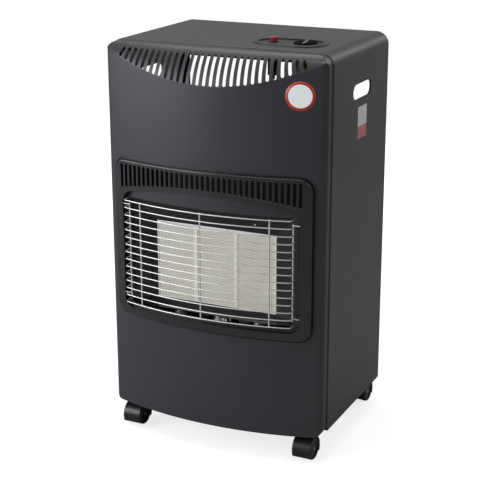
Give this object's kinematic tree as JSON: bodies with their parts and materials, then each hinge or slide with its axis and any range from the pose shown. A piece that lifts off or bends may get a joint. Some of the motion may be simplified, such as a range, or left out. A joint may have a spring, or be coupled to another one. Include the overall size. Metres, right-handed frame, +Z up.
{
  "type": "portable gas cabinet heater",
  "caption": "Free-standing gas cabinet heater on twin-wheel castors, with a bowed front, slotted air outlets, ceramic radiant burner behind a wire guard, and a lift-off rear cover",
  "frame": {"origin": "centre of the footprint on the floor, under the castor wheels", "axes": "+Z up, the front with the burner faces -Y, +X is the right side seen from the front"},
  "size_m": [0.42, 0.3938, 0.7375],
  "materials": {
    "cabinet_paint": "satin",
    "inner_paint": "matte",
    "bezel_black": "satin",
    "enamel_black": "gloss",
    "bright_steel": "satin",
    "zinc_steel": "satin",
    "guard_chrome": "polished",
    "ceramic": "matte",
    "castor_plastic": "gloss",
    "wheel_plastic": "satin",
    "black_plastic": "satin",
    "pointer_grey": "matte",
    "button_red": "gloss",
    "brass": "satin",
    "pipe_metal": "satin"
  },
  "bodies": {
    "cabinet": {"base_pan": "inner_paint", "burner_bezel": "bezel_black", "burner_box_centre": "zinc_steel", "burner_box_left": "zinc_steel", "burner_box_right": "zinc_steel", "burner_frame": "bright_steel", "burner_pipe": "pipe_metal", "burner_rail_lower": "zinc_steel", "burner_rail_upper": "zinc_steel", "burner_shield": "inner_paint", "cabinet_wrap": "cabinet_paint", "castor_plate_front_left": "zinc_steel", "castor_plate_front_right": "zinc_steel", "castor_plate_rear_left": "zinc_steel", "castor_plate_rear_right": "zinc_steel", "ceramic_plaque_centre": "ceramic", "ceramic_plaque_left": "ceramic", "ceramic_plaque_right": "ceramic", "control_tray": "black_plastic", "front_panel": "cabinet_paint", "gas_manifold": "zinc_steel", "gas_valve": "brass", "hand_hole_trim_left": "black_plastic", "hand_hole_trim_right": "black_plastic", "hose_nozzle": "brass", "igniter_body": "black_plastic", "igniter_nut": "black_plastic", "injectors": "brass", "inlet_pipe": "pipe_metal", "manifold_brackets": "zinc_steel", "mixing_tube_centre": "zinc_steel", "mixing_tube_left": "zinc_steel", "mixing_tube_right": "zinc_steel", "pilot_bracket": "zinc_steel", "pilot_burner": "brass", "pilot_pipe": "pipe_metal", "reflector": "enamel_black", "spark_electrode": "ceramic", "thermocouple": "bright_steel", "valve_bracket": "zinc_steel", "wire_guard": "guard_chrome"},
    "knob": {"control_knob": "black_plastic", "knob_pointer": "pointer_grey"},
    "spindle": {"valve_spindle": "zinc_steel"},
    "button": {"igniter_button": "button_red"},
    "rear_cover": {"rear_cover": "inner_paint"},
    "castor_front_left": {"castor_fork_front_left": "castor_plastic"},
    "wheels_front_left": {"castor_axle_front_left": "zinc_steel", "castor_wheels_front_left": "wheel_plastic"},
    "castor_front_right": {"castor_fork_front_right": "castor_plastic"},
    "wheels_front_right": {"castor_axle_front_right": "zinc_steel", "castor_wheels_front_right": "wheel_plastic"},
    "castor_rear_left": {"castor_fork_rear_left": "castor_plastic"},
    "wheels_rear_left": {"castor_axle_rear_left": "zinc_steel", "castor_wheels_rear_left": "wheel_plastic"},
    "castor_rear_right": {"castor_fork_rear_right": "castor_plastic"},
    "wheels_rear_right": {"castor_axle_rear_right": "zinc_steel", "castor_wheels_rear_right": "wheel_plastic"}
  },
  "joints": [
    {"name": "knob_push", "type": "slide", "parent": "cabinet", "child": "spindle", "axis": [0, 0, -1], "range_m": [0, 0.004], "stiffness_N_per_m": 1500, "springref_m": -0.002},
    {"name": "knob_turn", "type": "hinge", "parent": "spindle", "child": "knob", "pos_m": [0.126, -0.0361, 0.728], "axis": [0, 0, 1], "range_deg": [0, 180]},
    {"name": "button_push", "type": "slide", "parent": "cabinet", "child": "button", "axis": [0, 0, -1], "range_m": [0, 0.006], "stiffness_N_per_m": 2500, "springref_m": -0.001},
    {"name": "cover_lift_off", "type": "slide", "parent": "cabinet", "child": "rear_cover", "axis": [0, 1, 0], "range_m": [0, 0.12]},
    {"name": "swivel_front_left", "type": "hinge", "parent": "cabinet", "child": "castor_front_left", "pos_m": [-0.173, -0.1034, 0.048], "axis": [0, 0, 1], "continuous": true},
    {"name": "roll_front_left", "type": "hinge", "parent": "castor_front_left", "child": "wheels_front_left", "pos_m": [-0.173, -0.1234, 0.02], "axis": [1, 0, 0], "continuous": true},
    {"name": "swivel_front_right", "type": "hinge", "parent": "cabinet", "child": "castor_front_right", "pos_m": [0.173, -0.1034, 0.048], "axis": [0, 0, 1], "continuous": true},
    {"name": "roll_front_right", "type": "hinge", "parent": "castor_front_right", "child": "wheels_front_right", "pos_m": [0.173, -0.1234, 0.02], "axis": [1, 0, 0], "continuous": true},
    {"name": "swivel_rear_left", "type": "hinge", "parent": "cabinet", "child": "castor_rear_left", "pos_m": [-0.173, 0.1347, 0.048], "axis": [0, 0, 1], "continuous": true},
    {"name": "roll_rear_left", "type": "hinge", "parent": "castor_rear_left", "child": "wheels_rear_left", "pos_m": [-0.173, 0.1547, 0.02], "axis": [1, 0, 0], "continuous": true},
    {"name": "swivel_rear_right", "type": "hinge", "parent": "cabinet", "child": "castor_rear_right", "pos_m": [0.173, 0.1347, 0.048], "axis": [0, 0, 1], "continuous": true},
    {"name": "roll_rear_right", "type": "hinge", "parent": "castor_rear_right", "child": "wheels_rear_right", "pos_m": [0.173, 0.1547, 0.02], "axis": [1, 0, 0], "continuous": true}
  ]
}
